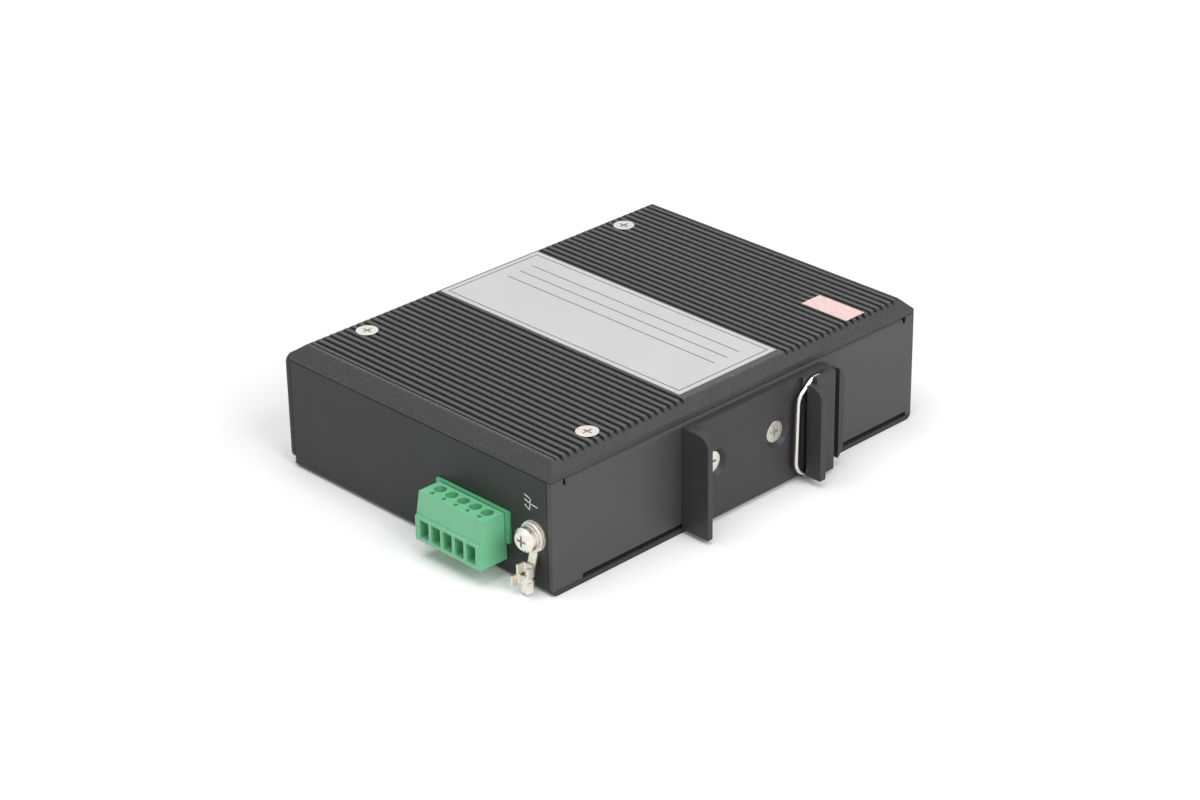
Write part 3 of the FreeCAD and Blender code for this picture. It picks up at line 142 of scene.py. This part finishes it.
def makeFloor():
    half = stage["floorSize"] / 2
    corners = [(-half, -half, 0), (half, -half, 0), (half, half, 0), (-half, half, 0)]
    mesh = bpy.data.meshes.new("studioFloor")
    mesh.from_pydata(corners, [], [(0, 1, 2, 3)])
    floor = bpy.data.objects.new("studioFloor", mesh)
    floor.location.z = -stage["floorDrop"]
    scene.collection.objects.link(floor)

    material = bpy.data.materials.new("studioFloor")
    material.use_nodes = True
    tree = material.node_tree
    tree.nodes.clear()
    out = addNode(tree, "ShaderNodeOutputMaterial")
    diffuse = addNode(tree, "ShaderNodeBsdfDiffuse")
    diffuse.inputs["Color"].default_value = (*stage["floorColour"], 1)
    glow = addNode(tree, "ShaderNodeEmission")
    level = addNode(tree, "ShaderNodeMath", operation="MULTIPLY")
    both = addNode(tree, "ShaderNodeAddShader")
    tree.links.new(backgroundSeen(tree), level.inputs[0])
    tree.links.new(growingOutward(tree, stage["glowReach"], stage["floorGlow"]), level.inputs[1])
    tree.links.new(level.outputs[0], glow.inputs["Strength"])
    tree.links.new(diffuse.outputs[0], both.inputs[0])
    tree.links.new(glow.outputs[0], both.inputs[1])
    tree.links.new(both.outputs[0], out.inputs["Surface"])
    mesh.materials.append(material)


def makeSky():
    world = bpy.data.worlds.new("studioWorld")
    scene.world = world
    world.use_nodes = True
    tree = world.node_tree
    tree.nodes.clear()
    out = addNode(tree, "ShaderNodeOutputWorld")
    seen = addNode(tree, "ShaderNodeBackground")
    seen.inputs["Color"].default_value = (1, 1, 1, 1)
    seen.inputs["Strength"].default_value = stage["skyForEye"]
    light = addNode(tree, "ShaderNodeBackground")
    light.inputs["Color"].default_value = (*stage["skyForLight"], 1)
    mix = addNode(tree, "ShaderNodeMixShader")
    tree.links.new(backgroundSeen(tree), mix.inputs["Fac"])
    tree.links.new(light.outputs[0], mix.inputs[1])
    tree.links.new(seen.outputs[0], mix.inputs[2])
    tree.links.new(mix.outputs[0], out.inputs["Surface"])


def makeLamps():
    for name, place, size, watts in lamps:
        data = bpy.data.lights.new(name, "AREA")
        data.size = size
        data.energy = watts
        item = bpy.data.objects.new(name, data)
        item.location = place
        scene.collection.objects.link(item)
        aimAt(item, stage["lampAim"])


makeCamera()
makeFloor()
makeSky()
makeLamps()
scene.view_settings.view_transform = "Standard"
print("camera and stage ready")


# finishes: each is a Principled shader with grain, colour drift and softened edges
# painted highlight band: the cover's colour is painted lighter within this height of the ribs'
# tops
paintedHighlightBand = {"top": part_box("ribbed_cover")[1].z, "fade": 0.0003}
plain = {
    "metal": 0.0, "shine": 0.5, "clear": 0.0, "soft": 0.0, "rough": 0.5, "roughSway": 0.06,
    "spread": 0.06, "driftSize": 0.012, "grainSize": 0.0004, "stretch": (1, 1, 1),
    "grainDepth": 0.00002, "bump": 0.3, "edge": 0.00015,
}
refraction = 1.5
softDepth = 0.0006
driftDetail, grainDetail = 3.0, 2.0
edgeSamples = 4


def grainNoise(tree, size, detail, stretch=(1, 1, 1)):
    # noise whose features are about `size` metres across
    place = addNode(tree, "ShaderNodeTexCoord")
    scaled = addNode(tree, "ShaderNodeMapping")
    scaled.inputs["Scale"].default_value = [1 / (size * factor) for factor in stretch]
    noise = addNode(tree, "ShaderNodeTexNoise", Scale=1.0, Detail=detail)
    tree.links.new(place.outputs["Object"], scaled.inputs["Vector"])
    tree.links.new(scaled.outputs["Vector"], noise.inputs["Vector"])
    return noise


def paintedTopHighlight(tree, colour, gain):
    # painted highlight: the crowns of the ribs are painted lighter than the grooves and end bevels
    # below them, standing in for the light that falls on the tops
    place = addNode(tree, "ShaderNodeTexCoord")
    split = addNode(tree, "ShaderNodeSeparateXYZ")
    tree.links.new(place.outputs["Object"], split.inputs[0])
    start, end = paintedHighlightBand["top"] - paintedHighlightBand["fade"], paintedHighlightBand["top"] - paintedHighlightBand["fade"] / 3
    factor = ranged(tree, split.outputs["Z"], 1.0, gain, start, end)
    scaled = addNode(tree, "ShaderNodeVectorMath", operation="SCALE")
    tree.links.new(colour, scaled.inputs[0])
    tree.links.new(factor, scaled.inputs["Scale"])
    return scaled.outputs[0]


def mixed(tree, first, second, share):
    # Mix nodes take their colours in sockets 6 and 7, and give the mixed one in 2
    mix = addNode(tree, "ShaderNodeMix", data_type="RGBA")
    mix.inputs[6].default_value = (*first, 1)
    mix.inputs[7].default_value = (*second, 1)
    tree.links.new(share, mix.inputs[0])
    return mix.outputs[2]


def finish(name, look):
    look = {**plain, **look}
    material = bpy.data.materials.new(name)
    material.use_nodes = True
    tree = material.node_tree
    tree.nodes.clear()
    out = addNode(tree, "ShaderNodeOutputMaterial")
    shader = addNode(tree, "ShaderNodeBsdfPrincipled")
    tree.links.new(shader.outputs[0], out.inputs["Surface"])
    shader.inputs["Metallic"].default_value = look["metal"]
    shader.inputs["IOR"].default_value = refraction
    shader.inputs["Specular IOR Level"].default_value = look["shine"]
    shader.inputs["Transmission Weight"].default_value = look["clear"]
    shader.inputs["Subsurface Weight"].default_value = look["soft"]
    shader.inputs["Subsurface Scale"].default_value = softDepth

    # colour drifts a little over the surface
    drift = grainNoise(tree, look["driftSize"], driftDetail)
    colour, spread = look["colour"], look["spread"]
    darker = [channel * (1 - spread) for channel in colour]
    lighter = [min(1, channel * (1 + spread)) for channel in colour]
    tinted = mixed(tree, darker, lighter, ranged(tree, drift.outputs["Fac"], 0, 1))
    # painted highlight on the cover's rib crowns, where a gain is given
    if "paintedHighlightGain" in look:
        tinted = paintedTopHighlight(tree, tinted, look["paintedHighlightGain"])
    tree.links.new(tinted, shader.inputs["Base Color"])

    # fine grain drives both the roughness and the bump
    grain = grainNoise(tree, look["grainSize"], grainDetail, look["stretch"])
    rough, sway = look["rough"], look["roughSway"]
    smoothest, roughest = max(rough - sway, 0.02), min(rough + sway, 1)
    tree.links.new(ranged(tree, grain.outputs["Fac"], smoothest, roughest),
                   shader.inputs["Roughness"])
    edge = addNode(tree, "ShaderNodeBevel", samples=edgeSamples)
    edge.inputs["Radius"].default_value = look["edge"]
    bump = addNode(tree, "ShaderNodeBump")
    bump.inputs["Strength"].default_value = look["bump"]
    bump.inputs["Distance"].default_value = look["grainDepth"]
    tree.links.new(grain.outputs["Fac"], bump.inputs["Height"])
    tree.links.new(edge.outputs["Normal"], bump.inputs["Normal"])
    tree.links.new(bump.outputs["Normal"], shader.inputs["Normal"])
    return material


finishes = {
    # the cover's rib crowns carry a painted highlight, 1.8 times lighter than its grooves and
    # bevels
    "castCover": {"colour": (0.042, 0.042, 0.043), "paintedHighlightGain": 1.8, "rough": 0.52, "shine": 0.4,
                  "grainSize": 0.0005, "grainDepth": 0.00012, "bump": 0.9, "spread": 0.2,
                  "driftSize": 0.0008, "edge": 0.00018},
    # the shell, front panel and rear panel wear one paint in two tones: a darker, shaded copy here
    # and a lighter, lit copy on the rear panel, standing in for the light on each side
    "sheetCoat": {"colour": (0.046, 0.046, 0.047), "rough": 0.48, "shine": 0.2,
                  "grainSize": 0.0003, "grainDepth": 0.00001, "bump": 0.3, "edge": 0.00022},
    # painted light: the shell's paint in a lighter copy on the rear panel, for the light on the
    # rear side
    "rearCoatLitCopy": {"colour": (0.053, 0.053, 0.054), "rough": 0.48,
                 "grainSize": 0.0003, "grainDepth": 0.00001, "bump": 0.3, "edge": 0.00022},
    "innerCoat": {"colour": (0.02, 0.02, 0.02), "rough": 0.6},
    "blackAnodised": {"colour": (0.049, 0.049, 0.050), "rough": 0.40, "shine": 0.25,
                      "grainSize": 0.00025, "stretch": (1, 1, 12), "grainDepth": 0.000008,
                      "bump": 0.3, "edge": 0.0002},
    "brightNickel": {"colour": (0.76, 0.73, 0.68), "metal": 1.0, "rough": 0.36,
                     "grainSize": 0.0007, "edge": 0.00012, "bump": 0.05, "grainDepth": 0.000006},
    "zincPlate": {"colour": (0.62, 0.62, 0.60), "metal": 1.0, "rough": 0.38, "grainSize": 0.0006},
    "drawnWire": {"colour": (0.78, 0.75, 0.70), "metal": 1.0, "rough": 0.2, "grainSize": 0.0004,
                  "stretch": (1, 1, 8), "bump": 0.15},
    "solderMask": {"colour": (0.012, 0.10, 0.04), "rough": 0.3, "driftSize": 0.003, "spread": 0.2},
    "jackPlastic": {"colour": (0.012, 0.012, 0.012), "rough": 0.45},
    "tinnedSheet": {"colour": (0.70, 0.70, 0.68), "metal": 1.0, "rough": 0.3, "grainSize": 0.0005},
    "goldFlash": {"colour": (0.83, 0.62, 0.28), "metal": 1.0, "rough": 0.25, "grainSize": 0.0004},
    "blackEpoxy": {"colour": (0.015, 0.015, 0.015), "rough": 0.6},
    "greySilicone": {"colour": (0.3, 0.3, 0.34), "rough": 0.8},
    "rawAluminium": {"colour": (0.75, 0.75, 0.75), "metal": 1.0, "rough": 0.35,
                     "stretch": (10, 1, 1)},
    "canSleeve": {"colour": (0.03, 0.03, 0.05), "rough": 0.3},
    "clearRod": {"colour": (0.9, 0.93, 0.9), "rough": 0.12, "clear": 0.7},
    "headerGreen": {"colour": (0.14, 0.50, 0.26), "rough": 0.36, "grainSize": 0.0005,
                    "spread": 0.05, "edge": 0.0001, "soft": 0.1},
    "plugGreen": {"colour": (0.20, 0.60, 0.34), "rough": 0.34, "grainSize": 0.0006,
                  "spread": 0.05, "edge": 0.00018, "soft": 0.15, "bump": 0.15},
    "clampSteel": {"colour": (0.6, 0.6, 0.58), "metal": 1.0, "rough": 0.3},
    "softTin": {"colour": (0.80, 0.77, 0.68), "metal": 0.85, "rough": 0.36, "grainSize": 0.0007,
                "edge": 0.00008, "driftSize": 0.002, "spread": 0.1},
    "labelFilm": {"colour": (0.62, 0.62, 0.62), "rough": 0.55, "grainSize": 0.0003,
                  "spread": 0.02, "edge": 0.00004},
    "printInk": {"colour": (0.02, 0.02, 0.02), "rough": 0.5},
    "whiteInk": {"colour": (0.85, 0.85, 0.85), "rough": 0.5, "edge": 0.00002},
}


def oneForEachJack(stem):
    return [f"{stem}_{number}" for number in range(1, 6)]


wears = {
    "castCover": ["ribbed_cover"],
    "sheetCoat": ["base_shell", "front_panel"],
    "rearCoatLitCopy": ["rear_panel"],
    "innerCoat": ["front_frame", "rear_foot"],
    "blackAnodised": ["din_bracket"],
    "brightNickel": ["cover_screws", "bracket_screws", "ground_screw", "ground_spring_washer",
                     "ground_flat_washer", "board_screws"],
    "zincPlate": ["flange_nuts", "bracket_nuts", "ground_nut", "board_standoffs"],
    "drawnWire": ["rail_spring"],
    "solderMask": ["circuit_board"],
    "jackPlastic": oneForEachJack("rj45_jack"),
    "tinnedSheet": oneForEachJack("jack_shield"),
    "goldFlash": oneForEachJack("jack_contacts") + ["plug_contacts", "header_pins"],
    "blackEpoxy": oneForEachJack("transformer") + ["switch_chip", "power_inductor"],
    "greySilicone": ["thermal_pad"],
    "rawAluminium": ["heat_block"],
    "canSleeve": ["power_capacitor_1", "power_capacitor_2"],
    "clearRod": ["status_light_pipes"],
    "headerGreen": ["terminal_header"],
    "plugGreen": ["terminal_plug"],
    "clampSteel": ["plug_clamp_screws", "plug_cages"],
    "softTin": ["ground_lug"],
    "labelFilm": ["rating_label"],
}
materials = {name: finish(name, look) for name, look in finishes.items()}
for name, members in wears.items():
    for node in members:
        slots = nodes[node].data.materials
        slots.clear()
        slots.append(materials[name])
print("finishes on", sum(len(members) for members in wears.values()), "nodes")


def newPiece(name, points, faces, material, body="housing"):
    # points are in mm
    mesh = bpy.data.meshes.new(name)
    mesh.from_pydata([tuple(value * mm for value in point) for point in points], [], faces)
    mesh.validate()
    mesh.materials.append(material)
    item = bpy.data.objects.new(name, mesh)
    scene.collection.objects.link(item)
    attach(item, body)
    return item


def addBar(points, faces, corners):
    # ink is a thin closed bar: four corners on the face, then the four above them
    first = len(points)
    points += corners
    base, roof = [first + n for n in range(4)], [first + n for n in range(4, 8)]
    faces += [base[::-1], roof]
    faces += [[base[n], base[(n + 1) % 4], roof[(n + 1) % 4], roof[n]] for n in range(4)]


# the label stays bare apart from a thin frame and a few blank rules; mm, rules as shares
label = {"inset": 1.3, "line": 0.22, "ink": 0.02, "rules": (0.18, 0.32, 0.46), "margin": 4.0}


def makeLabelPrint():
    low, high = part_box("rating_label")
    inset, line = label["inset"], label["line"]
    left, front = low.x / mm + inset, low.y / mm + inset
    right, back = high.x / mm - inset, high.y / mm - inset
    bars = [(left, front, right, front + line),
            (left, back - line, right, back),
            (left, front + line, left + line, back - line),
            (right - line, front + line, right, back - line)]
    for share in label["rules"]:
        place = left + share * (right - left)
        bars.append((place, front + label["margin"], place + line, back - label["margin"]))
    level = high.z / mm
    points, faces = [], []
    for x, y, farX, farY in bars:
        outline = [(x, y), (farX, y), (farX, farY), (x, farY)]
        addBar(points, faces, [(*corner, height) for height in (level, level + label["ink"])
                               for corner in outline])
    newPiece("labelPrint", points, faces, materials["printInk"])


makeLabelPrint()
print("label print ready")


# earth mark above the grounding screw, of five slanted bars; all in mm
earthMark = {
    "stroke": 0.28,
    "ink": 0.02,
    # across and above the middle of the screw
    "lines": [((-2.8, 9.0), (-1.1, 8.5)), ((-2.8, 7.8), (-1.2, 7.3)), ((-1.2, 7.3), (1.0, 7.1)),
              ((-2.8, 6.5), (-1.4, 5.7)), ((-1.1, 8.5), (-1.4, 5.7))],
}


def makeEarthMark():
    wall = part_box("base_shell")[1].x / mm
    low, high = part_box("ground_screw")
    middle = Vector(((low.y + high.y) / 2, (low.z + high.z) / 2)) / mm
    points, faces = [], []
    for start, end in earthMark["lines"]:
        start, end = middle + Vector(start), middle + Vector(end)
        along = (end - start).normalized() * earthMark["stroke"] / 2
        across = Vector((-along.y, along.x))
        outline = [start - along - across, end + along - across,
                   end + along + across, start - along + across]
        addBar(points, faces, [(depth, corner.x, corner.y)
                               for depth in (wall, wall + earthMark["ink"]) for corner in outline])
    newPiece("earthMark", points, faces, materials["whiteInk"])


makeEarthMark()
print("earth mark ready")


# brittle seal film over one cover screw: it dips a little over each groove
seal = {
    "steps": 42,
    "rows": 12,
    "dip": 0.06,                        # mm, as are the next three
    "pitch": 2.06,
    "firstGroove": 17.07,
    "lift": 0.02,
    "follow": 0.6,                      # share of the dip that the film follows
    "dots": 0.00042,
    "dotEdge": (0.35, 0.75),
    "dotStrength": 0.55,
    "paper": (0.90, 0.75, 0.72),
    "ink": (0.75, 0.25, 0.22),
    "rough": 0.45,
    "edge": 0.00003,
}


def sealMaterial():
    look = {"colour": seal["paper"], "rough": seal["rough"], "edge": seal["edge"]}
    material = finish("sealFilm", look)
    tree = material.node_tree
    shader = next(item for item in tree.nodes if item.type == "BSDF_PRINCIPLED")
    place = addNode(tree, "ShaderNodeTexCoord")
    cells = addNode(tree, "ShaderNodeTexVoronoi", Scale=1 / seal["dots"])
    tree.links.new(place.outputs["Object"], cells.inputs["Vector"])
    share = ranged(tree, cells.outputs["Distance"], 0, seal["dotStrength"], *seal["dotEdge"])
    tree.links.new(mixed(tree, seal["paper"], seal["ink"], share), shader.inputs["Base Color"])
    return material


def makeSeal():
    low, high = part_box("seal_sticker")
    steps, rows = seal["steps"], seal["rows"]
    points, faces = [], []
    for level, lift in ((low.z / mm, seal["lift"]), (high.z / mm, 0.0)):
        for row in range(rows + 1):
            for step in range(steps + 1):
                x = (low.x + (high.x - low.x) * step / steps) / mm
                y = (low.y + (high.y - low.y) * row / rows) / mm
                phase = (abs(x) - seal["firstGroove"]) / seal["pitch"]
                sag = seal["dip"] * max(0, cos(2 * pi * phase))
                points.append((x, y, level - sag * seal["follow"] + lift))
    width, sheet = steps + 1, (steps + 1) * (rows + 1)
    for row in range(rows):
        for step in range(steps):
            a = row * width + step
            faces += [[a, a + width, a + width + 1, a + 1],
                      [sheet + a, sheet + a + 1, sheet + a + width + 1, sheet + a + width]]
    # the rim joins both sheets: front, right, back and left
    rim = list(range(width))
    rim += [row * width + steps for row in range(1, rows + 1)]
    rim += [rows * width + step for step in range(steps - 1, -1, -1)]
    rim += [row * width for row in range(rows - 1, 0, -1)]
    faces += [[a, b, b + sheet, a + sheet] for a, b in zip(rim, rim[1:] + rim[:1])]
    item = newPiece("sealFilm", points, faces, sealMaterial())
    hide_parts("seal_sticker")


makeSeal()
print("seal ready")
